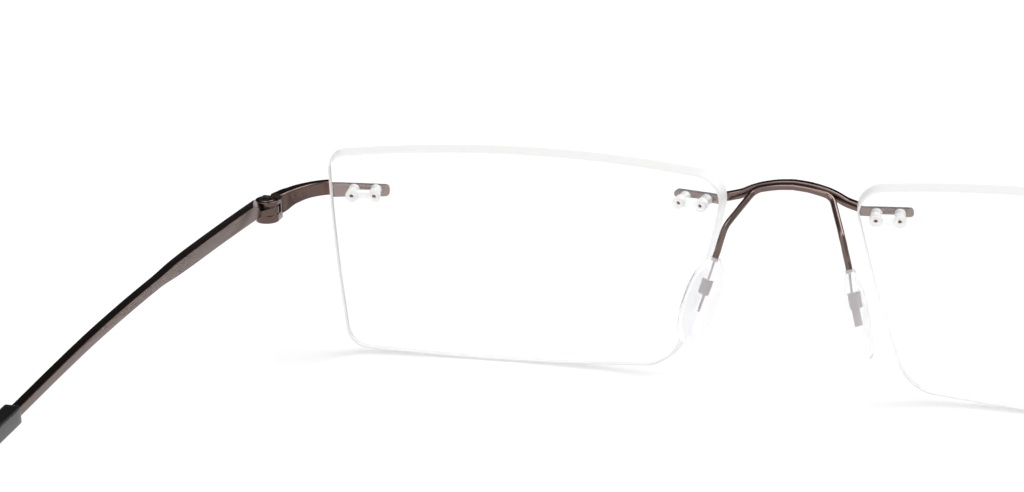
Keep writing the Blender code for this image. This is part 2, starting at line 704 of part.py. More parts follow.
def make_tip():
    """The plastic tip, bored from its front end to take the temple's core."""
    path = smooth_path(TEMPLE_PATH, TEMPLE_STEPS)[SLEEVE_START * TEMPLE_STEPS:]
    shares = path_shares(path)
    length = sum((after - before).length for before, after in zip(path, path[1:]))
    sections = []
    for share in shares:
        thickness = read_table(SLEEVE_HALF_THICKNESS, share)
        height = read_table(SLEEVE_HALF_HEIGHT, share)
        left = length * (1 - share)
        inward = max(TIP_ROUNDING - left, 0.0)
        shrink = TIP_ROUNDING - math.sqrt(max(TIP_ROUNDING ** 2 - inward ** 2, 0.0))
        height = height - shrink
        thickness = thickness - shrink * 0.5
        corner = read_table(SLEEVE_CORNER, share)
        sections.append((thickness, height, min(corner, thickness * 0.9, height * 0.9)))
    bm = bmesh.new()
    add_sweep(bm, path, sections)
    tip = new_object("temple_tip_left", bm, "black_plastic")

    core = smooth_path(TEMPLE_PATH[:CORE_END + 1], TEMPLE_STEPS)
    core_shares = path_shares(core)
    first = SLEEVE_START * TEMPLE_STEPS - 1
    bore_path = core[first:]
    last = (core[-1] - core[-2]).normalized()
    bore_path.append(core[-1] + last * CORE_END_GAP)
    core_shares.append(1.0)
    bore_sections = []
    for share in core_shares[first:]:
        thickness = read_table(TEMPLE_HALF_THICKNESS, share) + SLEEVE_BORE_GAP
        height = read_table(TEMPLE_HALF_HEIGHT, share) + SLEEVE_BORE_GAP
        bore_sections.append((thickness, height, TEMPLE_ROUNDING))
    bore = bmesh.new()
    add_sweep(bore, bore_path, bore_sections)
    cut(tip, new_object("tip_bore", bore))
    floor = bmesh.new()
    add_box(floor, *FOOT_CUTTER)
    cut(tip, new_object("tip_foot", floor))
    return tip


# ---------------------------------------------------------------- assembly

def centre_on_origin():
    """Moves everything along Y, so that the origin is under the middle of the object's box."""
    bpy.context.view_layer.update()
    depsgraph = bpy.context.evaluated_depsgraph_get()
    depths = []
    for item in bpy.data.collections[PARTS].objects:
        if item.type != "EMPTY":
            evaluated = item.evaluated_get(depsgraph)
            place = evaluated.matrix_world
            depths += [(place @ vertex.co).y for vertex in evaluated.to_mesh().vertices]
            evaluated.to_mesh_clear()
    for item in bpy.data.objects:
        if not item.parent:
            item.location.y -= (min(depths) + max(depths)) / 2


def main():
    clear_scene()
    lens, lens_height = make_lens()
    nasal = mount_frame(NASAL_MOUNT, lens_height)
    temporal = mount_frame(TEMPORAL_MOUNT, lens_height)
    fixed = [lens]
    fixed += make_mount("nasal", nasal, lens)
    fixed += make_mount("temporal", temporal, lens)
    make_bridge(nasal)
    make_wire()
    fixed += make_pad()
    fixed += [make_end_piece(temporal), make_hinge_front(), make_screw()]
    fixed += [make_washer(label, *span) for label, span in WASHERS.items()]
    moving = [make_hinge_rear(), make_temple(), make_tip()]
    bpy.context.view_layer.update()

    middle = sum(MIDDLE_KNUCKLE) / 2
    axis_left = make_axis("hinge_axis_left", at_height(middle))
    axis_right = make_axis("hinge_axis_right", Vector((-HINGE.x, HINGE.y, middle)))
    for item in fixed:
        mirror_part(item, item.name.replace("_left", "_right"))
    for item in moving:
        mirror_part(item, item.name.replace("_left", "_right"), axis_right)
        attach(item, axis_left)
    centre_on_origin()


main()
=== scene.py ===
"""The looks of the rimless eyeglasses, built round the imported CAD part.

Lengths are in millimetres in the CAD source's own frame, whose Y is a little ahead of the row
frame's: to_row() turns such a point into metres in the row frame. The left half is built and the
right half is its mirror copy; the bridge and the pad-arm wire cross the middle in one piece each.
"""
import math

import bmesh
import bpy
from mathutils import Matrix, Vector


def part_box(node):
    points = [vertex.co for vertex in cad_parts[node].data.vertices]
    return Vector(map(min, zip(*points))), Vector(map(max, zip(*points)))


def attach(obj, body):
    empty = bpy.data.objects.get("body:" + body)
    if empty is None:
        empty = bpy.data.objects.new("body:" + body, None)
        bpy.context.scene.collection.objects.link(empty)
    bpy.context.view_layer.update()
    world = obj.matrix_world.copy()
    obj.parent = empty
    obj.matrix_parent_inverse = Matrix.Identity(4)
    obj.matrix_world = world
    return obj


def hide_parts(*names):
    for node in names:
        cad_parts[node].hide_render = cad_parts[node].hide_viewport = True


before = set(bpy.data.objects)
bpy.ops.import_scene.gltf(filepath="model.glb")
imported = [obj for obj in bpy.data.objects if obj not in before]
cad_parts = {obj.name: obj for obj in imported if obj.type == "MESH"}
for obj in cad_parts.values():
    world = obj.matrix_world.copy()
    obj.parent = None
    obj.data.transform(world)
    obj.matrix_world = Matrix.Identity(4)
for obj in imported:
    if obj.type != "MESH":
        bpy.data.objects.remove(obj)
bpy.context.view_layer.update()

MM = 0.001
UP = Vector((0.0, 0.0, 1.0))
FRONT_BODY = "front"
LEFT_BODY = "temple_left_body"
RIGHT_BODY = "temple_right_body"

# Lenses. Width and spacing are taken level with the lens's own origin, top and bottom straight
# above and below it. The whole shape is about 55 x 30, 17 apart at the top corners.
LENS_WIDTH = 51.5
LENS_SPACING = 22.4
LENS_TOP = 13.15
LENS_BOTTOM = 16.6
LENS_THICKNESS = 2.3
LENS_RADIUS = 123.5
LENS_WRAP = math.radians(2.0)
LENS_CENTRE_X = (LENS_SPACING + LENS_WIDTH) / 2
LENS_BEVEL = 0.16
BEVEL_WIDTH = 0.26                  # how far the ground bevel reaches in on each face
EDGE_TOP = (-0.0144, -0.0014)       # slope and bow of each edge
EDGE_BOTTOM = (-0.029, 0.0029)
EDGE_TEMPORAL = (0.066, -0.0034)
EDGE_NASAL = (-0.271, 0.0039)
CORNERS = (2.1, 4.0, 3.3, 2.3)      # rounding: top outer, top inner, bottom inner, bottom outer
EDGE_STEPS = 30
CORNER_STEPS = 12
FACE_INSETS = (1.0, 0.5)            # two rings of each face inside the bevel
FACE_SHARES = (0.04, 0.15, 0.3, 0.45, 0.6, 0.72, 0.83, 0.92, 1.0)   # rings towards the middle

# Drilled mounts.
NASAL_MOUNT = (-24.0, 8.9)
TEMPORAL_MOUNT = (21.45, 6.45)
HOLE_SPACING = 3.05
HOLE_RADIUS = 0.70
HOLE_FLARE = 0.08
PLUG_RADIUS = 0.66
COLLAR_RADIUS = 0.85
COLLAR_HEIGHT = 1.40
COLLAR_GAP = 0.12
COLLAR_ROUNDING = 0.12
PLUG_BAR = (0.60, 0.20, 1.05)       # half height, start and end behind the lens
PLUG_BAR_ROUNDING = 0.18
PLUG_RECESS = 0.1                   # how far the plug stays behind the lens front
TUBE_OVERLAP = 0.2                  # how far the tube runs on into the collar
TUBE_ROUNDING = 0.08
BORE_FLARE = 0.06
BORE_RADIUS = 0.45
PIN_RADIUS = 0.42
BORE_TIP_RADIUS = 0.27
PIN_TIP_RADIUS = 0.24
BORE_STEP = 0.55
PIN_SEGMENTS = 32
PIN_ROUNDING = 0.10
PIN_TIP_ROUNDING = 0.08
PIN_RECESS = 0.25                   # how far the pin's tip stays inside the collar
PLATE_GAP = 0.12
PLATE_THICKNESS = 1.0
SOLDER_GAP = 0.02
ROUND_STEPS = 48
CUT_OVERRUN = 1.0                   # how far a cutting tool runs past what it cuts

# Bridge and pad-arm wire.
BRIDGE_HEIGHT = 1.16
BRIDGE_ROUNDING = 0.22
NASAL_PLATE_REACH = 3.3
NASAL_PLATE_STEP = 1.5
BRIDGE_END_RADIUS = 0.5
CROWN_POINTS = ((7.9, -0.62, 26.32), (6.8, -0.80, 26.62), (5.5, -0.95, 27.23),
                (4.1, -1.0, 27.72), (2.1, -1.0, 28.16))
CROWN_TOP = (0.0, -1.0, 28.35)
WIRE_RADIUS = 0.43
ARM_POINTS = ((8.28, 5.80, 21.79), (7.90, 5.58, 23.20), (7.62, 5.34, 23.98), (7.30, 4.66, 24.54),
              (6.60, 3.10, 25.44), (5.90, 1.54, 26.33), (5.33, 0.34, 27.00),
              (4.75, 0.02, 27.40), (4.1, -0.01, 27.67), (2.1, -0.03, 28.10))
ARM_CROWN = (0.0, -0.03, 28.29)
WIRE_REACH = 0.45                   # how far the wire goes into the pad
WIRE_LEAD = 0.9                     # how far it runs straight before that

# Nose pads.
PAD_TOP = Vector((8.80, 6.10, 19.9))
PAD_BOTTOM = Vector((11.98, 9.25, 9.05))
PAD_FACING = Vector((-0.866, 0.5, 0.0))
PAD_SECTIONS = ((0.00, 0.68, 0.62), (0.06, 1.45, 0.74), (0.13, 2.20, 0.86), (0.25, 2.85, 0.95),
                (0.38, 3.15, 0.98), (0.52, 3.20, 0.98), (0.66, 3.05, 0.98), (0.80, 2.60, 0.95),
                (0.91, 1.95, 0.86), (0.975, 1.30, 0.64), (1.00, 0.80, 0.40))
MOUNT_HEAD = (3.0, 5.0, 0.45, 0.72)     # start, end, half width and half depth
MOUNT_BLADE = (4.5, 7.3, 0.16, 0.72)
MOUNT_TURN = math.radians(30)
MOUNT_STEM_RADIUS = 0.14
STEM_GAP = 0.1
STEM_OVERLAP = 0.5                  # how far the stem runs on into the head
POCKET_GAP = 0.05
PAD_STATIONS = 44
PAD_SQUARENESS = 0.85               # 1 is an ellipse, less is squarer

# End pieces and hinges.
END_PIECE_PATH = ((64.3, 1.20, 23.15), (65.6, 2.00, 23.11), (66.7, 3.00, 23.04),
                  (67.6, 4.25, 22.94), (68.3, 5.60, 22.80), (68.75, 6.80, 22.64),
                  (69.02, 7.3, 22.56), (69.06, 7.5, 22.55), (69.06, 7.64, 22.55))
END_PIECE_HALF_THICKNESS = ((0.0, 0.50), (0.42, 0.50), (0.56, 0.60), (0.80, 0.76), (1.0, 0.84))
END_PIECE_HALF_HEIGHT = ((0.0, 0.80), (0.35, 0.95), (0.50, 0.99), (0.68, 0.99), (0.82, 1.10),
                         (0.92, 1.32), (1.0, 1.40))
END_PIECE_ROUNDING = 0.25
TEMPORAL_PLATE_DROP = 0.36
TEMPORAL_PLATE_REACH = 3.3
TEMPORAL_PLATE_STEPS = (1.2, 2.2, 3.9)      # from the inner end, then two beyond the middle
TEMPORAL_END_RADIUS = 0.6
HINGE = Vector((69.8, 9.3, 0.0))
BARREL_RADIUS = 1.60
SWING_RADIUS = 1.85
LOWER_KNUCKLE = (20.70, 21.75)
MIDDLE_KNUCKLE = (21.90, 22.88)
UPPER_KNUCKLE = (23.02, 23.70)
WASHERS = {"lower": (21.775, 21.875), "upper": (22.905, 22.995)}
WASHER_RADIUS = 1.45
WASHER_ROUNDING = 0.03
SCREW_RADIUS = 0.55
SCREW_BORE_RADIUS = 0.59
SCREW_HEAD = (1.05, 23.34, 23.76)   # radius, underside and top
SCREW_HEAD_ROUNDING = 0.10
SCREW_END_ROUNDING = 0.06
SCREW_RECESS = 0.05                 # how far the shank's end stays inside the lower knuckle
SHANK_OVERLAP = 0.2
SEAT_GAP = 0.02                     # between the head's underside and its seat
COUNTERBORE_RADIUS = 1.10
SLOT = (0.34, 0.20)                 # width and depth
SLOT_REACH = 3.0
SLOT_ROUNDING = 0.03
SLOT_TURN = math.radians(25)
FRONT_BLOCK = ((68.22, 7.67), (70.95, 9.3))
REAR_BLOCK = ((69.35, 9.3), (68.67, 10.43), (69.58, 12.0), (69.58, 10.96), (70.65, 10.96),
              (70.65, 9.3))
CHAMFER = 0.09
RIM = 0.16

# Temples and tips.
TEMPLE_PATH = ((70.30, 11.0, 23.06), (70.35, 15.0, 23.31), (70.40, 24.0, 23.80),
               (70.35, 32.0, 24.24), (70.3, 38.0, 24.55), (70.22, 42.0, 24.78),
               (70.1, 46.0, 24.98), (69.9, 53.0, 25.22), (69.65, 60.0, 25.40),
               (69.4, 67.0, 25.48), (69.05, 76.0, 25.41), (68.58, 87.4, 25.23),
               (68.3, 95.0, 25.17), (68.05, 102.0, 24.95), (67.8, 108.5, 23.92),
               (67.6, 114.2, 21.4), (67.4, 119.2, 17.5), (67.2, 123.8, 12.8),
               (67.05, 128.1, 8.1), (66.9, 131.8, 3.85), (66.8, 134.8, -0.2))
TEMPLE_HALF_THICKNESS = ((0.0, 0.70), (0.18, 0.69), (0.26, 0.62), (0.61, 0.60), (0.67, 0.46),
                         (1.0, 0.46))
TEMPLE_HALF_HEIGHT = ((0.0, 1.08), (0.18, 1.02), (0.215, 0.96), (0.265, 0.71), (0.55, 0.62),
                      (0.61, 0.61), (0.67, 0.46), (1.0, 0.46))
TEMPLE_SLOPE = ((69.6, 11.0, 22.95), (71.0, 11.0, 24.2), (69.62, 14.8, 24.36))
TEMPLE_ROUNDING = 0.18
SLOPE_CUT_HEIGHT = 3.0
SLEEVE_START = 11                   # rows of TEMPLE_PATH
CORE_END = 19
SLEEVE_HALF_THICKNESS = ((0.0, 1.06), (0.5, 1.10), (0.9, 1.15), (1.0, 1.10))
SLEEVE_HALF_HEIGHT = ((0.0, 1.16), (0.35, 1.38), (0.8, 1.95), (1.0, 1.90))
SLEEVE_CORNER = ((0.0, 0.45), (0.25, 0.60), (0.5, 0.95), (1.0, 0.99))
SLEEVE_RIM = 0.22
SLEEVE_END_ROUNDING = 1.5
SLEEVE_BORE_GAP = 0.05
BORE_LEAD_STEPS = 2                 # path steps that the bore starts ahead of the tip
BORE_END_ROOM = 0.3
FOOT_CUT = ((60, 120, -5), (75, 145, 0))    # a box that makes the flat the tip stands on
PATH_STEPS = 8

screw_low, screw_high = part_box("hinge_screw_left")
Y_OFFSET = (screw_low.y + screw_high.y) / 2 / MM - HINGE.y


def to_row(point):
    return Vector((point[0], point[1] + Y_OFFSET, point[2])) * MM


# ---------------------------------------------------------------- materials

# Where one colour of painted light passes into the next, in metres in the row frame: three
# distances from the middle plane, and a height.
PAINTED_LIGHT_BRIDGE_TO_PLATES = (0.0088, 0.0098)
PAINTED_LIGHT_PLATES_TO_TEMPLES = (0.0635, 0.0650)
PAINTED_LIGHT_NASAL_SIDE = (0.013, 0.016)
PAINTED_LIGHT_NASAL_TOP = (0.0245, 0.0265)


class Nodes:
    """A short way to write one material's nodes, round its Principled shader."""

    def __init__(self, name):
        self.material = bpy.data.materials.new(name)
        self.material.use_nodes = True
        self.tree = self.material.node_tree
        self.shader = self.tree.nodes["Principled BSDF"]
        self.output = self.tree.nodes["Material Output"]
        coordinates = self.tree.nodes.new("ShaderNodeTexCoord")
        self.place = coordinates.outputs["Object"]

    def constants(self, **values):
        for name, value in values.items():
            self.shader.inputs[name.replace("_", " ")].default_value = value

    def stretched(self, scale):
        mapping = self.tree.nodes.new("ShaderNodeMapping")
        mapping.inputs["Scale"].default_value = scale
        self.tree.links.new(self.place, mapping.inputs["Vector"])
        return mapping.outputs["Vector"]

    def noise(self, scale, detail=3.0, roughness=0.55, stretch=(1.0, 1.0, 1.0)):
        noise = self.tree.nodes.new("ShaderNodeTexNoise")
        noise.inputs["Scale"].default_value = scale
        noise.inputs["Detail"].default_value = detail
        noise.inputs["Roughness"].default_value = roughness
        self.tree.links.new(self.stretched(stretch), noise.inputs["Vector"])
        return noise.outputs["Fac"]

    def spread(self, value, low, high, start=0.3, end=0.7):
        spread = self.tree.nodes.new("ShaderNodeMapRange")
        spread.inputs["From Min"].default_value = start
        spread.inputs["From Max"].default_value = end
        spread.inputs["To Min"].default_value = low
        spread.inputs["To Max"].default_value = high
        self.tree.links.new(value, spread.inputs["Value"])
        return spread.outputs["Result"]

    def colours(self, value, low, high, start=0.3, end=0.7):
        ramp = self.tree.nodes.new("ShaderNodeValToRGB")
        stops = ((start, low), (end, high))
        for element, (position, colour) in zip(ramp.color_ramp.elements, stops):
            element.position = position
            element.color = (*colour, 1.0)
        self.tree.links.new(value, ramp.inputs["Fac"])
        return ramp.outputs["Color"]

    def math(self, operation, value, other=None):
        node = self.tree.nodes.new("ShaderNodeMath")
        node.operation = operation
        self.tree.links.new(value, node.inputs[0])
        if other is not None:
            self.tree.links.new(other, node.inputs[1])
        return node.outputs["Value"]

    def position(self, axis):
        """One coordinate of a point, in metres in the row frame."""
        split = self.tree.nodes.new("ShaderNodeSeparateXYZ")
        self.tree.links.new(self.place, split.inputs["Vector"])
        return split.outputs[axis]

    def side_distance(self):
        """How far a point is from the middle plane of the glasses."""
        return self.math("ABSOLUTE", self.position("X"))

    def mixed(self, amount, first, second):
        mix = self.tree.nodes.new("ShaderNodeMix")
        mix.data_type = "RGBA"
        colours = [socket for socket in mix.inputs if socket.type == "RGBA"]
        self.tree.links.new(amount, mix.inputs["Factor"])
        self.tree.links.new(first, colours[0])
        self.tree.links.new(second, colours[1])
        return [socket for socket in mix.outputs if socket.type == "RGBA"][0]

    def bump(self, height, strength, distance):
        bump = self.tree.nodes.new("ShaderNodeBump")
        bump.inputs["Strength"].default_value = strength
        bump.inputs["Distance"].default_value = distance
        self.tree.links.new(height, bump.inputs["Height"])
        self.link(bump.outputs["Normal"], "Normal")

    def link(self, output, socket):
        self.tree.links.new(output, self.shader.inputs[socket])

    def let_lamps_through(self, share):
        """Lets a share of the lamps' light pass, so that a clear piece has a faint shadow."""
        path = self.tree.nodes.new("ShaderNodeLightPath")
        amount = self.tree.nodes.new("ShaderNodeMath")
        amount.operation = "MULTIPLY"
        amount.inputs[1].default_value = share
        clear = self.tree.nodes.new("ShaderNodeBsdfTransparent")
        mix = self.tree.nodes.new("ShaderNodeMixShader")
        self.tree.links.new(path.outputs["Is Shadow Ray"], amount.inputs[0])
        self.tree.links.new(amount.outputs["Value"], mix.inputs["Fac"])
        self.tree.links.new(self.shader.outputs["BSDF"], mix.inputs[1])
        self.tree.links.new(clear.outputs["BSDF"], mix.inputs[2])
        self.tree.links.new(mix.outputs["Shader"], self.output.inputs["Surface"])


def bronze_material():
    """Polished bronze coating, a little mottled, with fine lines along the temples. Painted light
    makes the bridge and the wire lighter than the temples, and the plates and the pad inserts
    lighter and redder."""
    nodes = Nodes("bronze_coating")
    nodes.constants(Metallic=1.0)
    mottle = nodes.noise(260.0, detail=3.0)
    outer = nodes.colours(mottle, (0.115, 0.079, 0.070), (0.131, 0.090, 0.077))
    # Painted light: the plates' colour is lighter and redder than the temples', the bridge's
    # lighter.
    plates = nodes.colours(mottle, (0.178, 0.097, 0.079), (0.192, 0.105, 0.084))
    bridge = nodes.colours(mottle, (0.150, 0.108, 0.098), (0.170, 0.122, 0.108))
    side = nodes.side_distance()
    # The painted light passes from bridge to plates to temples by distance from the middle plane.
    inner = nodes.mixed(nodes.spread(side, 0.0, 1.0, *PAINTED_LIGHT_BRIDGE_TO_PLATES), bridge, plates)
    colour = nodes.mixed(nodes.spread(side, 0.0, 1.0, *PAINTED_LIGHT_PLATES_TO_TEMPLES), inner, outer)
    nodes.link(colour, "Base Color")
    lines = nodes.noise(2600.0, detail=2.0, stretch=(1.0, 0.06, 1.0))
    nodes.link(nodes.spread(lines, 0.130, 0.136), "Roughness")
    return nodes.material


def screw_material():
    """Dark steel with turning marks."""
    nodes = Nodes("dark_steel")
    nodes.constants(Metallic=1.0)
    grain = nodes.noise(1800.0, detail=3.0)
    nodes.link(nodes.colours(grain, (0.16, 0.145, 0.14), (0.24, 0.215, 0.20)), "Base Color")
    nodes.link(nodes.spread(grain, 0.16, 0.28), "Roughness")
    nodes.bump(grain, 0.10, 0.000002)
    return nodes.material


def lens_material():
    """The polished faces of a clear high-index lens."""
    nodes = Nodes("lens_clear")
    nodes.constants(Roughness=0.0, IOR=1.67, Transmission_Weight=0.97)
    haze = nodes.noise(24.0, detail=2.0)
    nodes.link(nodes.colours(haze, (0.985, 0.992, 0.990), (1.0, 1.0, 1.0)), "Base Color")
    nodes.let_lamps_through(0.97)
    return nodes.material


def lens_edge_material():
    """The ground and buffed edge of a lens, with painted light that makes it paler near the nose
    and below its top corner.
    """
    nodes = Nodes("lens_edge")
    nodes.constants(IOR=1.5)
    grain = nodes.noise(900.0, detail=3.0)
    edge = nodes.colours(grain, (0.735, 0.742, 0.732), (0.750, 0.757, 0.747))
    # Painted light: a paler colour on the edge near the nose, below its top corner.
    nasal = nodes.colours(grain, (0.915, 0.925, 0.917), (0.930, 0.940, 0.932))
    painted_light_near_nose = nodes.spread(nodes.side_distance(), 1.0, 0.0, *PAINTED_LIGHT_NASAL_SIDE)
    painted_light_below_corner = nodes.spread(nodes.position("Z"), 1.0, 0.0, *PAINTED_LIGHT_NASAL_TOP)
    # How much of the painted light each point of the edge gets.
    amount = nodes.math("MULTIPLY", painted_light_near_nose, painted_light_below_corner)
    nodes.link(nodes.mixed(amount, edge, nasal), "Base Color")
    nodes.link(nodes.spread(grain, 0.34, 0.37), "Roughness")
    nodes.let_lamps_through(0.55)
    return nodes.material


def plug_material():
    """Clear moulded plastic."""
    nodes = Nodes("plug_clear")
    nodes.constants(IOR=1.49, Transmission_Weight=0.35)
    grain = nodes.noise(700.0, detail=2.0)
    nodes.link(nodes.colours(grain, (0.96, 0.97, 0.97), (1.0, 1.0, 1.0)), "Base Color")
    nodes.link(nodes.spread(grain, 0.04, 0.12), "Roughness")
    nodes.let_lamps_through(0.85)
    return nodes.material


def pad_material():
    """Soft clear silicone with a faint bloom."""
    nodes = Nodes("pad_silicone")
    nodes.constants(IOR=1.09, Transmission_Weight=0.80)
    bloom = nodes.noise(420.0, detail=3.0)
    nodes.link(nodes.colours(bloom, (0.935, 0.935, 0.96), (0.96, 0.96, 0.98)), "Base Color")
    nodes.link(nodes.spread(bloom, 0.10, 0.18), "Roughness")
    nodes.let_lamps_through(0.88)
    return nodes.material


def tip_material():
    """Glossy black acetate with fine polishing marks."""
    nodes = Nodes("tip_black")
    nodes.constants(IOR=1.45, Coat_Weight=0.15, Coat_Roughness=0.04)
    marks = nodes.noise(1100.0, detail=4.0, stretch=(1.0, 0.15, 1.0))
    nodes.link(nodes.colours(marks, (0.004, 0.004, 0.005), (0.009, 0.009, 0.010)), "Base Color")
    nodes.link(nodes.spread(marks, 0.12, 0.22), "Roughness")
    nodes.bump(marks, 0.08, 0.000003)
    return nodes.material


def floor_material():
    """Matt white paper."""
    nodes = Nodes("floor_paper")
    nodes.constants(Roughness=0.9, Specular_IOR_Level=0.1)
    fibre = nodes.noise(60.0, detail=2.0)
    nodes.link(nodes.colours(fibre, (0.818, 0.818, 0.818), (0.828, 0.828, 0.828)), "Base Color")
    return nodes.material


MATERIALS = {
    "bronze": (bronze_material(),),
    "steel": (screw_material(),),
    "lens": (lens_material(), lens_edge_material()),
    "clear_plastic": (plug_material(),),
    "silicone": (pad_material(),),
    "black_plastic": (tip_material(),),
}


# ---------------------------------------------------------------- meshes

def bare_object(bm, name="tool"):
    mesh = bpy.data.meshes.new(name)
    bmesh.ops.recalc_face_normals(bm, faces=bm.faces)
    bm.to_mesh(mesh)
    bm.free()
    item = bpy.data.objects.new(name, mesh)
    bpy.context.scene.collection.objects.link(item)
    return item


def carve(item, *steps):
    """Applies boolean steps, each a bmesh and its operation, to an object's mesh."""
    for bm, operation in steps:
        tool = bare_object(bm)
        modifier = item.modifiers.new("carve", "BOOLEAN")
        modifier.operation = operation
        modifier.object = tool
        depsgraph = bpy.context.evaluated_depsgraph_get()
        mesh = bpy.data.meshes.new_from_object(item.evaluated_get(depsgraph))
        item.modifiers.clear()
        item.data = mesh
        bpy.data.objects.remove(tool)
    return item


def finish_piece(item, node, slot, body, sharp=35):
    """Names and shades a finished piece, and lets it stand for its CAD node."""
    item.name = "fine_" + node
    item.data.name = item.name
    indices = [face.material_index for face in item.data.polygons]
    item.data.materials.clear()
    for material in MATERIALS[slot]:
        item.data.materials.append(material)
    item.data.polygons.foreach_set("material_index", indices)
    item.data.shade_smooth()
    item.data.set_sharp_from_angle(angle=math.radians(sharp))
    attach(item, body)
    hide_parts(node)
    return item


def mirrored(item, node, slot, body, sharp=35):
    mesh = item.data.copy()
    mesh.transform(Matrix.Scale(-1.0, 4, (1.0, 0.0, 0.0)))
    mesh.flip_normals()
    copy = bpy.data.objects.new("copy", mesh)
    bpy.context.scene.collection.objects.link(copy)
    return finish_piece(copy, node, slot, body, sharp)


def finish_pair(item, node, slot, bodies=(FRONT_BODY, FRONT_BODY), sharp=35):
    """Finishes a left-hand piece and makes its right-hand copy."""
    finish_piece(item, node + "_left", slot, bodies[0], sharp)
    mirrored(item, node + "_right", slot, bodies[1], sharp)


def smooth_path(points, steps=PATH_STEPS):
    """A Catmull-Rom curve through the points, with the given steps in each stretch."""
    points = [Vector(point) for point in points]
    path = []
    for i in range(len(points) - 1):
        a = points[max(i - 1, 0)]
        b, c = points[i], points[i + 1]
        d = points[min(i + 2, len(points) - 1)]
        for step in range(steps):
            t = step / steps
            path.append(0.5 * (2 * b + (c - a) * t + (2 * a - 5 * b + 4 * c - d) * t ** 2
                               + (3 * b - a - 3 * c + d) * t ** 3))
    return path + [points[-1]]


def path_lengths(path):
    """How far along the path each point lies."""
    lengths = [0.0]
    for before, after in zip(path, path[1:]):
        lengths.append(lengths[-1] + (after - before).length)
    return lengths


def path_shares(path):
    lengths = path_lengths(path)
    return [length / lengths[-1] for length in lengths]


def read_table(table, place):
    """The value at a place in a table of (place, value) rows, eased between its rows."""
    for (start, low), (end, high) in zip(table, table[1:]):
        if place <= end:
            t = (place - start) / (end - start)
            eased = t * t * (3 - 2 * t)
            return low + (high - low) * (0.5 * t + 0.5 * eased)
    return table[-1][1]


def rounded_ring(half_width, half_height, radius, corner_steps):
    ring = []
    for corner in range(4):
        x_sign = 1 if corner in (0, 3) else -1
        y_sign = 1 if corner in (0, 1) else -1
        for step in range(corner_steps + 1):
            angle = math.radians(90 * corner + 90 * step / corner_steps)
            ring.append((x_sign * (half_width - radius) + radius * math.cos(angle),
                         y_sign * (half_height - radius) + radius * math.sin(angle)))
    return ring


def add_rings(bm, rings, closed=False):
    """Joins rings of points by quads, and closes the ends with a face each."""
    rings = [[bm.verts.new(to_row(point)) for point in ring] for ring in rings]
    pairs = list(zip(rings, rings[1:]))
    if closed:
        pairs.append((rings[-1], rings[0]))
    for ring, following in pairs:
        for i in range(len(ring)):
            j = (i + 1) % len(ring)
            bm.faces.new((ring[i], ring[j], following[j], following[i]))
    if not closed:
        bm.faces.new(rings[0])
        bm.faces.new(rings[-1])
    return rings


def add_sweep(bm, path, sections, up=UP, corner_steps=5):
    """A closed loft along a path; a section is its half width, half height and corner radius."""
    rings = []
    for i, (centre, section) in enumerate(zip(path, sections)):
        tangent = (path[min(i + 1, len(path) - 1)] - path[max(i - 1, 0)]).normalized()
        side = tangent.cross(up).normalized()
        lift = side.cross(tangent)
        ring = rounded_ring(*section, corner_steps)
        rings.append([centre + side * x + lift * y for x, y in ring])
    add_rings(bm, rings)


def add_lathe(bm, origin, axis, profile, segments=ROUND_STEPS):
    """A turned solid; the profile is a list of (distance along the axis, radius)."""
    side = axis.cross(Vector((1.0, 0.0, 0.0)) if abs(axis.x) < 0.9 else UP).normalized()
    other = axis.cross(side)
    rings = []
    for distance, radius in profile:
        ring = []
        for i in range(segments):
            angle = math.tau * i / segments
            ring.append(origin + axis * distance
                        + (side * math.cos(angle) + other * math.sin(angle)) * radius)
        rings.append(ring)
    add_rings(bm, rings)


def rounded_profile(start, end, radius, rounding, steps=5):
    """The profile of a disc or rod with rounded rims."""
    profile = []
    for step in range(steps + 1):
        angle = math.radians(90 * step / steps)
        profile.append((start + rounding * (1 - math.cos(angle)),
                        radius - rounding * (1 - math.sin(angle))))
    for step in range(steps + 1):
        angle = math.radians(90 * step / steps)
        profile.append((end - rounding * (1 - math.sin(angle)),
                        radius - rounding * (1 - math.cos(angle))))
    return profile


def lathe(origin, axis, profile, segments=ROUND_STEPS):
    bm = bmesh.new()
    add_lathe(bm, origin, axis, profile, segments)
    return bm


def rounded_box(low, high, rounding):
    """A box whose upright edges and rims are rounded."""
    low, high = Vector(low), Vector(high)
    centre = (low + high) / 2
    half = (high - low) / 2
    rings = []
    for distance, shrink in ((0.0, rounding), (rounding * 0.3, rounding * 0.3), (rounding, 0.0)):
        ring = rounded_ring(half.x - shrink, half.y - shrink, rounding, 4)
        rings.append([(centre.x + x, centre.y + y, low.z + distance) for x, y in ring])
    top = [[(x, y, low.z + high.z - z) for x, y, z in ring] for ring in reversed(rings)]
    bm = bmesh.new()
    add_rings(bm, rings + top)
    return bm


def prism(outline, depth):
    """A solid between a flat outline and its copy moved by a vector."""
    bm = bmesh.new()
    add_rings(bm, [outline, [point + depth for point in outline]])
    return bm


# ---------------------------------------------------------------- lenses

def edge_crossing(row, column):
    """Where a top or bottom edge v(u) meets a side edge u(v)."""
    u = column[0]
    for _ in range(20):
        v = row[0] + row[1] * u + row[2] * u * u
        u = column[0] + column[1] * v + column[2] * v * v
    return Vector((u, v))


def round_corner(start, corner, end):
    """The points between two edges, on a Bezier arc that stays inside their corner."""
    pull = 0.55
    first, second = start.lerp(corner, pull), end.lerp(corner, pull)
    points = []
    for step in range(1, CORNER_STEPS):
        t = step / CORNER_STEPS
        points.append(start * (1 - t) ** 3 + first * 3 * t * (1 - t) ** 2
                      + second * 3 * t * t * (1 - t) + end * t ** 3)
    return points


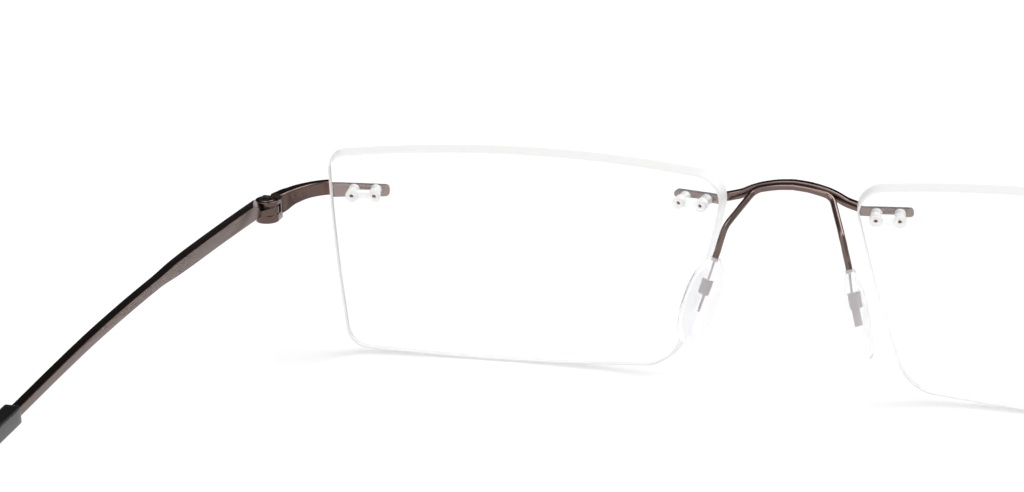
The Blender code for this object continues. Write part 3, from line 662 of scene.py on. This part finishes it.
def lens_outline():
    """The lens shape seen from behind, as points round its centre."""
    half = LENS_WIDTH / 2
    rows = ((LENS_TOP, *EDGE_TOP), (-LENS_BOTTOM, *EDGE_BOTTOM))
    columns = ((half, *EDGE_TEMPORAL), (-half, *EDGE_NASAL))
    corners = (edge_crossing(rows[0], columns[0]), edge_crossing(rows[0], columns[1]),
               edge_crossing(rows[1], columns[1]), edge_crossing(rows[1], columns[0]))
    edges = (rows[0], columns[1], rows[1], columns[0])
    outline = []
    for i, edge in enumerate(edges):
        start, end = corners[i], corners[(i + 1) % 4]
        along = end - start
        first = CORNERS[i] / along.length
        last = 1 - CORNERS[(i + 1) % 4] / along.length
        stretch = []
        for step in range(EDGE_STEPS + 1):
            place = start + along * (first + (last - first) * step / EDGE_STEPS)
            if i % 2 == 0:
                place.y = edge[0] + edge[1] * place.x + edge[2] * place.x ** 2
            else:
                place.x = edge[0] + edge[1] * place.y + edge[2] * place.y ** 2
            stretch.append(place)
        if outline:
            outline += round_corner(outline[-1], start, stretch[0])
        outline += stretch
    return outline + round_corner(outline[-1], corners[0], outline[0])


def inset_outline(outline, distance):
    """The outline moved inwards by a distance."""
    moved = []
    for i, point in enumerate(outline):
        along = outline[(i + 1) % len(outline)] - outline[i - 1]
        inward = Vector((-along.y, along.x)).normalized()
        if inward.dot(point) > 0:
            inward = -inward
        moved.append(point + inward * distance)
    return moved


def lens_point(u, v, depth):
    """A point that far in front of the back surface, in the lens's own frame."""
    centre = Vector((0.0, LENS_RADIUS, 0.0))
    back = Vector((u, LENS_RADIUS - math.sqrt(LENS_RADIUS ** 2 - u * u - v * v), v))
    return back + (back - centre).normalized() * depth


def lens_placement(height=0.0):
    return (Matrix.Translation(Vector((LENS_CENTRE_X, 0.0, height)))
            @ Matrix.Rotation(LENS_WRAP, 4, "Z"))


def lens_rings():
    """Rings of points from the middle of the back face round the edge to the front face."""
    outline = lens_outline()
    inner, outer = (inset_outline(outline, distance) for distance in FACE_INSETS)
    face = [[point * share for point in inner] for share in FACE_SHARES]
    face += [outer, inset_outline(outline, BEVEL_WIDTH)]
    rings = [[lens_point(*point, 0.0) for point in ring] for ring in face]
    for depth in (LENS_BEVEL, LENS_THICKNESS / 2, LENS_THICKNESS - LENS_BEVEL):
        rings.append([lens_point(*point, depth) for point in outline])
    rings += [[lens_point(*point, LENS_THICKNESS) for point in ring] for ring in reversed(face)]
    return rings, len(face)


def make_lens():
    rings, face_count = lens_rings()
    wrap = lens_placement()
    height = -min((wrap @ point).z for ring in rings for point in ring)
    placement = lens_placement(height)
    bm = bmesh.new()
    rows = add_rings(bm, [[placement @ point for point in ring] for ring in rings])
    edge_rows = rows[face_count - 1:len(rows) - face_count + 1]
    edge_verts = {vert for row in edge_rows for vert in row}
    for face in bm.faces:
        if all(vert in edge_verts for vert in face.verts):
            face.material_index = 1
    lens = bare_object(bm)
    for material in MATERIALS["lens"]:
        lens.data.materials.append(material)
    return lens, height


def mount_frame(place, lens_height):
    """A mount's middle on the back surface, and the directions along the plate, up the lens and
    straight back out of it."""
    middle = lens_point(*place, 0.0)
    back = (Vector((0.0, LENS_RADIUS, 0.0)) - middle).normalized()
    along = back.cross(UP).normalized()
    up = along.cross(back)
    placement = lens_placement(lens_height)
    turn = placement.to_3x3()
    return placement @ middle, turn @ along, turn @ up, turn @ back


# ---------------------------------------------------------------- drilled mounts

def mount_holes(mount):
    middle, along, _, _ = mount
    return [middle + along * HOLE_SPACING / 2 * side for side in (-1, 1)]


def drill_lens(lens, mount):
    back = mount[3]
    flared = HOLE_RADIUS + HOLE_FLARE
    front = -LENS_THICKNESS
    profile = ((front - CUT_OVERRUN, flared), (front, flared), (front + HOLE_FLARE, HOLE_RADIUS),
               (-HOLE_FLARE, HOLE_RADIUS), (0.0, flared), (CUT_OVERRUN, flared))
    for hole in mount_holes(mount):
        drill = lathe(hole, back, profile)
        for face in drill.faces:
            face.material_index = 1
        carve(lens, (drill, "DIFFERENCE"))


def make_plug(label, mount):
    """A clear double plug: two tubes in the lens holes, joined by a bar behind the lens."""
    middle, along, up, back = mount
    half, start, end = PLUG_BAR
    bar = bmesh.new()
    reach = HOLE_SPACING / 2
    path = [middle + back * (start + end) / 2 + along * reach * side for side in (-1, 0, 1)]
    add_sweep(bar, path, [((end - start) / 2, half, PLUG_BAR_ROUNDING)] * 3, up=up)
    plug = bare_object(bar)
    steps = []
    for hole in mount_holes(mount):
        tube = rounded_profile(PLUG_RECESS - LENS_THICKNESS, COLLAR_GAP + TUBE_OVERLAP,
                               PLUG_RADIUS, TUBE_ROUNDING)
        collar = rounded_profile(COLLAR_GAP, COLLAR_HEIGHT, COLLAR_RADIUS, COLLAR_ROUNDING)
        steps.append((lathe(hole, back, tube), "UNION"))
        steps.append((lathe(hole, back, collar), "UNION"))
    flare = BORE_TIP_RADIUS + BORE_FLARE
    bore = ((-LENS_THICKNESS - CUT_OVERRUN, BORE_RADIUS), (BORE_STEP, BORE_RADIUS),
            (BORE_STEP, BORE_TIP_RADIUS), (COLLAR_HEIGHT - BORE_FLARE, BORE_TIP_RADIUS),
            (COLLAR_HEIGHT, flare), (COLLAR_HEIGHT + CUT_OVERRUN, flare))
    for hole in mount_holes(mount):
        steps.append((lathe(hole, back, bore), "DIFFERENCE"))
    carve(plug, *steps)
    finish_pair(plug, f"{label}_plug", "clear_plastic", sharp=40)


def make_pins(label, mount):
    back = mount[3]
    start = -(LENS_THICKNESS + PLATE_GAP - SOLDER_GAP)
    shoulder = BORE_STEP - SOLDER_GAP
    tip = rounded_profile(shoulder, COLLAR_HEIGHT - PIN_RECESS, PIN_TIP_RADIUS, PIN_TIP_ROUNDING)
    profile = rounded_profile(start, shoulder, PIN_RADIUS, PIN_ROUNDING) + tip[len(tip) // 2:]
    for number, hole in enumerate(mount_holes(mount)):
        pin = bare_object(lathe(hole, back, profile, PIN_SEGMENTS))
        finish_pair(pin, f"{label}_pin_{number + 1}", "bronze")


def plate_centre(mount, drop=0.0):
    middle, _, up, back = mount
    return middle - back * (LENS_THICKNESS + PLATE_GAP + PLATE_THICKNESS / 2) - up * drop


def rounded_end(half_height, radius, distance):
    """The half height of a plate near its rounded end."""
    inward = max(radius - distance, 0.0)
    return half_height - radius + math.sqrt(radius * radius - inward * inward)


def end_steps(radius, count=8):
    """Distances from a rounded end, closer together near it."""
    return [radius * (1 - math.cos(math.radians(90 * step / count))) for step in range(count + 1)]


# ---------------------------------------------------------------- bridge, wire and pads

def mirrored_path(left, middle):
    right = [Vector((-point.x, point.y, point.z)) for point in reversed(left)]
    return left + [Vector(middle)] + right


def make_bridge(mount):
    along = mount[1]
    centre = plate_centre(mount)
    ends = end_steps(BRIDGE_END_RADIUS)
    plate = [centre + along * (NASAL_PLATE_REACH - step) for step in ends]
    plate += [centre + along * NASAL_PLATE_STEP, centre]
    arch = smooth_path((centre, centre - along * NASAL_PLATE_STEP,
                        centre - along * NASAL_PLATE_REACH, *CROWN_POINTS, CROWN_TOP))
    left = plate + arch[1:-1]
    half = BRIDGE_HEIGHT / 2
    heights = [rounded_end(half, BRIDGE_END_RADIUS, step) for step in ends]
    heights += [half] * (len(left) - len(ends))
    heights += [half] + heights[::-1]
    sections = [(PLATE_THICKNESS / 2, height, min(BRIDGE_ROUNDING, height * 0.6))
                for height in heights]
    bm = bmesh.new()
    add_sweep(bm, mirrored_path(left, CROWN_TOP), sections)
    finish_piece(bare_object(bm), "bridge", "bronze", FRONT_BODY)


def make_wire():
    """One wire from pad to pad, behind the arch of the bridge."""
    axis = pad_frame()[0]
    in_pad = [PAD_TOP + axis * reach for reach in (WIRE_REACH, 0.0, -WIRE_LEAD)]
    left = smooth_path((*in_pad, *ARM_POINTS, ARM_CROWN))[:-1]
    path = mirrored_path(left, ARM_CROWN)
    bm = bmesh.new()
    add_tube(bm, path, WIRE_RADIUS)
    finish_piece(bare_object(bm), "pad_arm_wire", "bronze", FRONT_BODY)


def add_tube(bm, path, radius, segments=24):
    """A round tube whose rings don't twist along the path."""
    tangent = (path[1] - path[0]).normalized()
    side = tangent.orthogonal().normalized()
    rings = []
    for i, centre in enumerate(path):
        following = (path[min(i + 1, len(path) - 1)] - path[max(i - 1, 0)]).normalized()
        side = (tangent.rotation_difference(following) @ side).normalized()
        tangent = following
        other = tangent.cross(side)
        rings.append([centre + (side * math.cos(math.tau * k / segments)
                                + other * math.sin(math.tau * k / segments)) * radius
                      for k in range(segments)])
    add_rings(bm, rings)


def pad_frame():
    axis = (PAD_BOTTOM - PAD_TOP).normalized()
    facing = (PAD_FACING - axis * PAD_FACING.dot(axis)).normalized()
    return axis, facing, facing.cross(axis)


def pad_bar(bar, turn, gap=0.0):
    """A straight bar along the pad's own axis, turned about it."""
    start, end, half_width, half_depth = bar
    axis, facing, _ = pad_frame()
    up = Matrix.Rotation(turn, 3, axis) @ facing
    path = [PAD_TOP + axis * place for place in (start - gap, (start + end) / 2, end + gap)]
    rounding = min(half_width, half_depth) * 0.35
    bm = bmesh.new()
    add_sweep(bm, path, [(half_width + gap, half_depth + gap, rounding + gap)] * 3, up=up,
              corner_steps=4)
    return bm


def squared(value):
    """A sine or cosine drawn out, so that the ellipse made of both becomes squarer."""
    return math.copysign(abs(value) ** PAD_SQUARENESS, value)


def make_pad():
    """A soft clear pad, and the metal in its pocket: a stem, a head and a turned blade."""
    axis, facing, across = pad_frame()
    length = (PAD_BOTTOM - PAD_TOP).length
    widths = [(share, width) for share, width, _ in PAD_SECTIONS]
    depths = [(share, depth) for share, _, depth in PAD_SECTIONS]
    rings = []
    for i in range(PAD_STATIONS + 1):
        share = 0.5 - 0.5 * math.cos(math.pi * i / PAD_STATIONS)
        width, depth = curve_value(widths, share), curve_value(depths, share)
        centre = PAD_TOP + axis * length * share
        ring = []
        for k in range(ROUND_STEPS):
            angle = math.tau * k / ROUND_STEPS
            x = squared(math.cos(angle)) * width
            y = squared(math.sin(angle)) * depth
            ring.append(centre + across * x + facing * y)
        rings.append(ring)
    bm = bmesh.new()
    add_rings(bm, rings)
    pad = bare_object(bm)
    bars = ((MOUNT_HEAD, 0.0), (MOUNT_BLADE, MOUNT_TURN))
    pockets = [(pad_bar(bar, turn, POCKET_GAP), "DIFFERENCE") for bar, turn in bars]
    stem_end = MOUNT_HEAD[0] + STEM_OVERLAP
    step = WIRE_REACH + STEM_GAP / 2
    wire_bore = WIRE_RADIUS + POCKET_GAP
    stem_bore = MOUNT_STEM_RADIUS + POCKET_GAP
    entry = lathe(PAD_TOP, axis, ((-CUT_OVERRUN, wire_bore), (step, wire_bore),
                                  (step, stem_bore), (stem_end, stem_bore)))
    carve(pad, *pockets, (entry, "DIFFERENCE"))
    finish_pair(pad, "nose_pad", "silicone", sharp=40)

    metal = bare_object(pad_bar(*bars[0]))
    stem = lathe(PAD_TOP, axis, ((WIRE_REACH + STEM_GAP, MOUNT_STEM_RADIUS),
                                 (stem_end, MOUNT_STEM_RADIUS)), 24)
    carve(metal, (pad_bar(*bars[1]), "UNION"), (stem, "UNION"))
    finish_pair(metal, "pad_mount", "bronze")


def curve_value(table, place):
    """The value at a place on a smooth curve through a table of (place, value) rows."""
    for i in range(len(table) - 1):
        (start, low), (end, high) = table[i], table[i + 1]
        if place <= end:
            before, after = table[max(i - 1, 0)], table[min(i + 2, len(table) - 1)]
            width = end - start
            first = (high - before[1]) / (end - before[0]) * width
            last = (after[1] - low) / (after[0] - start) * width
            t = (place - start) / width
            return (low * (2 * t ** 3 - 3 * t ** 2 + 1) + first * (t ** 3 - 2 * t ** 2 + t)
                    + high * (3 * t ** 2 - 2 * t ** 3) + last * (t ** 3 - t ** 2))
    return table[-1][1]


# ---------------------------------------------------------------- end pieces, hinges and temples

def make_end_piece(mount):
    along = mount[1]
    centre = plate_centre(mount, TEMPORAL_PLATE_DROP)
    ends = end_steps(TEMPORAL_END_RADIUS)
    inner_end = centre - along * TEMPORAL_PLATE_REACH
    first, second, third = TEMPORAL_PLATE_STEPS
    path = [inner_end + along * step for step in ends]
    path += smooth_path((inner_end + along * first, centre, centre + along * second,
                         centre + along * third, *END_PIECE_PATH))
    sections = []
    distances = ends + [TEMPORAL_END_RADIUS] * (len(path) - len(ends))
    for distance, share in zip(distances, path_shares(path)):
        thickness = read_table(END_PIECE_HALF_THICKNESS, share)
        full_height = read_table(END_PIECE_HALF_HEIGHT, share)
        height = rounded_end(full_height, TEMPORAL_END_RADIUS, distance)
        rounding = END_PIECE_ROUNDING if height > 0.3 else height * 0.8
        sections.append((thickness, height, rounding))
    bm = bmesh.new()
    add_sweep(bm, path, sections)
    finish_pair(bare_object(bm), "end_piece", "bronze")


def hinge_disc(low, high, radius, rounding=0.0):
    if rounding:
        return lathe(HINGE, UP, rounded_profile(low, high, radius, rounding))
    return lathe(HINGE, UP, ((low, radius), (high, radius)))


def hinge_bore(low, high):
    """The cutter of the screw's bore through everything between two heights."""
    return hinge_disc(low - CUT_OVERRUN, high + CUT_OVERRUN, SCREW_BORE_RADIUS)


def make_hinge_front():
    """The two outer knuckles on one block, brazed to the end piece."""
    (low_x, low_y), (high_x, high_y) = FRONT_BLOCK
    bottom, top = LOWER_KNUCKLE[0], UPPER_KNUCKLE[1]
    seat = SCREW_HEAD[1] - SEAT_GAP
    item = bare_object(rounded_box((low_x, low_y, bottom), (high_x, high_y, top), CHAMFER))
    carve(item,
          (hinge_disc(LOWER_KNUCKLE[1], UPPER_KNUCKLE[0], SWING_RADIUS), "DIFFERENCE"),
          (hinge_disc(*LOWER_KNUCKLE, BARREL_RADIUS, CHAMFER), "UNION"),
          (hinge_disc(*UPPER_KNUCKLE, BARREL_RADIUS, RIM), "UNION"),
          (hinge_bore(bottom, top), "DIFFERENCE"),
          (hinge_disc(seat, top + CUT_OVERRUN, COUNTERBORE_RADIUS), "DIFFERENCE"))
    finish_pair(item, "hinge_front", "bronze")


def make_hinge_rear():
    """The middle knuckle, brazed to the temple."""
    foot = [Vector((x, y, MIDDLE_KNUCKLE[0])) for x, y in REAR_BLOCK]
    item = bare_object(prism(foot, UP * (MIDDLE_KNUCKLE[1] - MIDDLE_KNUCKLE[0])))
    carve(item,
          (hinge_disc(*MIDDLE_KNUCKLE, BARREL_RADIUS, CHAMFER), "UNION"),
          (hinge_bore(*MIDDLE_KNUCKLE), "DIFFERENCE"))
    finish_pair(item, "hinge_rear", "bronze", (LEFT_BODY, RIGHT_BODY))


def make_washers():
    for label, (low, high) in WASHERS.items():
        ring = bare_object(hinge_disc(low, high, WASHER_RADIUS, WASHER_ROUNDING))
        carve(ring, (hinge_bore(low, high), "DIFFERENCE"))
        finish_pair(ring, f"hinge_washer_{label}", "steel")


def make_screw():
    radius, underside, top = SCREW_HEAD
    item = bare_object(hinge_disc(underside, top, radius, SCREW_HEAD_ROUNDING))
    shank = hinge_disc(LOWER_KNUCKLE[0] + SCREW_RECESS, underside + SHANK_OVERLAP, SCREW_RADIUS,
                       SCREW_END_ROUNDING)
    width, depth = SLOT
    middle = HINGE + UP * top
    reach = Matrix.Rotation(SLOT_TURN, 3, "Z") @ Vector((SLOT_REACH, 0.0, 0.0))
    slot = bmesh.new()
    add_sweep(slot, [middle - reach, middle, middle + reach],
              [(width / 2, depth, SLOT_ROUNDING)] * 3)
    carve(item, (shank, "UNION"), (slot, "DIFFERENCE"))
    finish_pair(item, "hinge_screw", "steel")


def temple_sections(shares, gap=0.0):
    return [(read_table(TEMPLE_HALF_THICKNESS, share) + gap,
             read_table(TEMPLE_HALF_HEIGHT, share) + gap, TEMPLE_ROUNDING) for share in shares]


def make_temple():
    """The metal temple, whose thin rear end is the core of the tip."""
    path = smooth_path(TEMPLE_PATH[:CORE_END + 1])
    bm = bmesh.new()
    add_sweep(bm, path, temple_sections(path_shares(path)))

    corner, side, rear = (Vector(point) for point in TEMPLE_SLOPE)
    across, along = side - corner, rear - corner
    outline = [corner - across - along, corner + across * 2 - along,
               corner + across * 2 + along * 2, corner - across + along * 2]
    slope = prism(outline, across.cross(along).normalized() * SLOPE_CUT_HEIGHT)
    temple = carve(bare_object(bm), (slope, "DIFFERENCE"))
    finish_pair(temple, "temple", "bronze", (LEFT_BODY, RIGHT_BODY))


def corner_shrink(radius, distance):
    """How far a rounded end draws a section in, at a distance from that end."""
    return radius - math.sqrt(radius ** 2 - max(radius - distance, 0.0) ** 2)


def make_tip():
    """The plastic tip, bored from its front end to take the temple's core."""
    path = smooth_path(TEMPLE_PATH)[SLEEVE_START * PATH_STEPS:]
    forward = (path[1] - path[0]).normalized()
    path = [path[0] + forward * step for step in end_steps(SLEEVE_RIM, 6)] + path[1:]
    lengths = path_lengths(path)
    sections = []
    for length in lengths:
        thickness = read_table(SLEEVE_HALF_THICKNESS, length / lengths[-1])
        height = read_table(SLEEVE_HALF_HEIGHT, length / lengths[-1])
        front = corner_shrink(SLEEVE_RIM, length)
        rear = corner_shrink(SLEEVE_END_ROUNDING, lengths[-1] - length)
        height -= rear + front
        thickness -= rear * 0.5 + front
        corner = read_table(SLEEVE_CORNER, length / lengths[-1])
        sections.append((thickness, height, min(corner, thickness * 0.9, height * 0.9)))
    bm = bmesh.new()
    add_sweep(bm, path, sections, corner_steps=8)
    tip = bare_object(bm)

    core = smooth_path(TEMPLE_PATH[:CORE_END + 1])
    shares = path_shares(core)
    first = SLEEVE_START * PATH_STEPS - BORE_LEAD_STEPS
    beyond = core[-1] + (core[-1] - core[-2]).normalized() * BORE_END_ROOM
    bore = bmesh.new()
    add_sweep(bore, core[first:] + [beyond],
              temple_sections(shares[first:] + [1.0], SLEEVE_BORE_GAP))
    foot = rounded_box(*FOOT_CUT, 0.01)
    carve(tip, (bore, "DIFFERENCE"), (foot, "DIFFERENCE"))
    finish_pair(tip, "temple_tip", "black_plastic", (LEFT_BODY, RIGHT_BODY), sharp=45)


# ---------------------------------------------------------------- stage

CAMERA_PLACE = Vector((-0.075106, 0.289319, 0.153850))
CAMERA_YAW, CAMERA_PITCH, CAMERA_ROLL = (math.radians(turn) for turn in (17.691, 20.182, -1.0866))
CAMERA_LENS = 103.8
SENSOR_WIDTH = 36.0
NEAREST_SEEN = 0.01
DARK_SIDE = (0.45, -0.80, 0.40)
DARK_SPREAD = (0.45, 0.85, 0.60, 0.04)      # nearness start and end, and the light at each
LIGHT_SIDE = (0.30, 0.85, 0.45)
LIGHT_SPREAD = (0.70, 0.92, 0.0, 0.70)
HORIZON_SPREAD = (0.04, 0.14, 1.0, 0.0)     # the share of the white horizon, by height
SUNS = (("window", (-0.46, -0.38, 0.80), 2.0, 46),
        ("overhead", (0.10, 0.35, 0.95), 0.9, 44))
FLOOR_REACH = 12.0


def make_camera():
    forward = Vector((math.sin(CAMERA_YAW) * math.cos(CAMERA_PITCH),
                      -math.cos(CAMERA_YAW) * math.cos(CAMERA_PITCH), -math.sin(CAMERA_PITCH)))
    right = Vector((-math.cos(CAMERA_YAW), -math.sin(CAMERA_YAW), 0.0))
    up = right.cross(forward)
    x_axis = right * math.cos(CAMERA_ROLL) + up * math.sin(CAMERA_ROLL)
    y_axis = up * math.cos(CAMERA_ROLL) - right * math.sin(CAMERA_ROLL)
    data = bpy.data.cameras.new("camera")
    data.lens = CAMERA_LENS
    data.sensor_width = SENSOR_WIDTH
    data.clip_start = NEAREST_SEEN
    camera = bpy.data.objects.new("camera", data)
    camera.matrix_world = (Matrix.Translation(CAMERA_PLACE)
                           @ Matrix((x_axis, y_axis, -forward)).transposed().to_4x4())
    bpy.context.scene.collection.objects.link(camera)
    bpy.context.scene.camera = camera


def make_sun(name, direction, strength, width):
    """A far soft light; direction points from the object to the light."""
    data = bpy.data.lights.new(name, "SUN")
    data.energy = strength
    data.angle = math.radians(width)
    sun = bpy.data.objects.new(name, data)
    sun.rotation_mode = "QUATERNION"
    sun.rotation_quaternion = Vector(direction).to_track_quat("Z", "Y")
    bpy.context.scene.collection.objects.link(sun)


def make_world():
    """A grey studio with a white horizon, one dark side and one light side."""
    world = bpy.data.worlds.new("studio")
    bpy.context.scene.world = world
    world.use_nodes = True
    tree = world.node_tree

    def spread(value, start, end, low, high):
        node = tree.nodes.new("ShaderNodeMapRange")
        node.interpolation_type = "SMOOTHSTEP"
        node.inputs["From Min"].default_value = start
        node.inputs["From Max"].default_value = end
        node.inputs["To Min"].default_value = low
        node.inputs["To Max"].default_value = high
        tree.links.new(value, node.inputs["Value"])
        return node.outputs["Result"]

    def nearness(side):
        dot = tree.nodes.new("ShaderNodeVectorMath")
        dot.operation = "DOT_PRODUCT"
        dot.inputs[1].default_value = Vector(side).normalized()
        tree.links.new(direction, dot.inputs[0])
        return dot.outputs["Value"]

    direction = tree.nodes.new("ShaderNodeTexCoord").outputs["Generated"]
    dark = spread(nearness(DARK_SIDE), *DARK_SPREAD)
    light = spread(nearness(LIGHT_SIDE), *LIGHT_SPREAD)
    total = tree.nodes.new("ShaderNodeMath")
    tree.links.new(dark, total.inputs[0])
    tree.links.new(light, total.inputs[1])
    upper = total.outputs["Value"]
    horizon = spread(nearness(UP), *HORIZON_SPREAD)
    mix = tree.nodes.new("ShaderNodeMix")
    mix.inputs["B"].default_value = 1.0
    tree.links.new(horizon, mix.inputs["Factor"])
    tree.links.new(upper, mix.inputs["A"])
    tree.links.new(mix.outputs["Result"], tree.nodes["Background"].inputs["Color"])


def make_floor():
    corners = ((-1, -1), (1, -1), (1, 1), (-1, 1))
    bm = bmesh.new()
    bm.faces.new([bm.verts.new((x * FLOOR_REACH, y * FLOOR_REACH, 0.0)) for x, y in corners])
    floor = bare_object(bm, "floor")
    floor.data.materials.append(floor_material())


def main():
    lens, lens_height = make_lens()
    nasal = mount_frame(NASAL_MOUNT, lens_height)
    temporal = mount_frame(TEMPORAL_MOUNT, lens_height)
    drill_lens(lens, nasal)
    drill_lens(lens, temporal)
    finish_pair(lens, "lens", "lens", sharp=25)
    for label, mount in (("nasal", nasal), ("temporal", temporal)):
        make_plug(label, mount)
        make_pins(label, mount)
    make_bridge(nasal)
    make_wire()
    make_pad()
    make_end_piece(temporal)
    make_hinge_front()
    make_hinge_rear()
    make_washers()
    make_screw()
    make_temple()
    make_tip()
    make_floor()
    make_camera()
    make_world()
    for sun in SUNS:
        make_sun(*sun)
    bpy.context.scene.view_settings.view_transform = "Standard"


main()
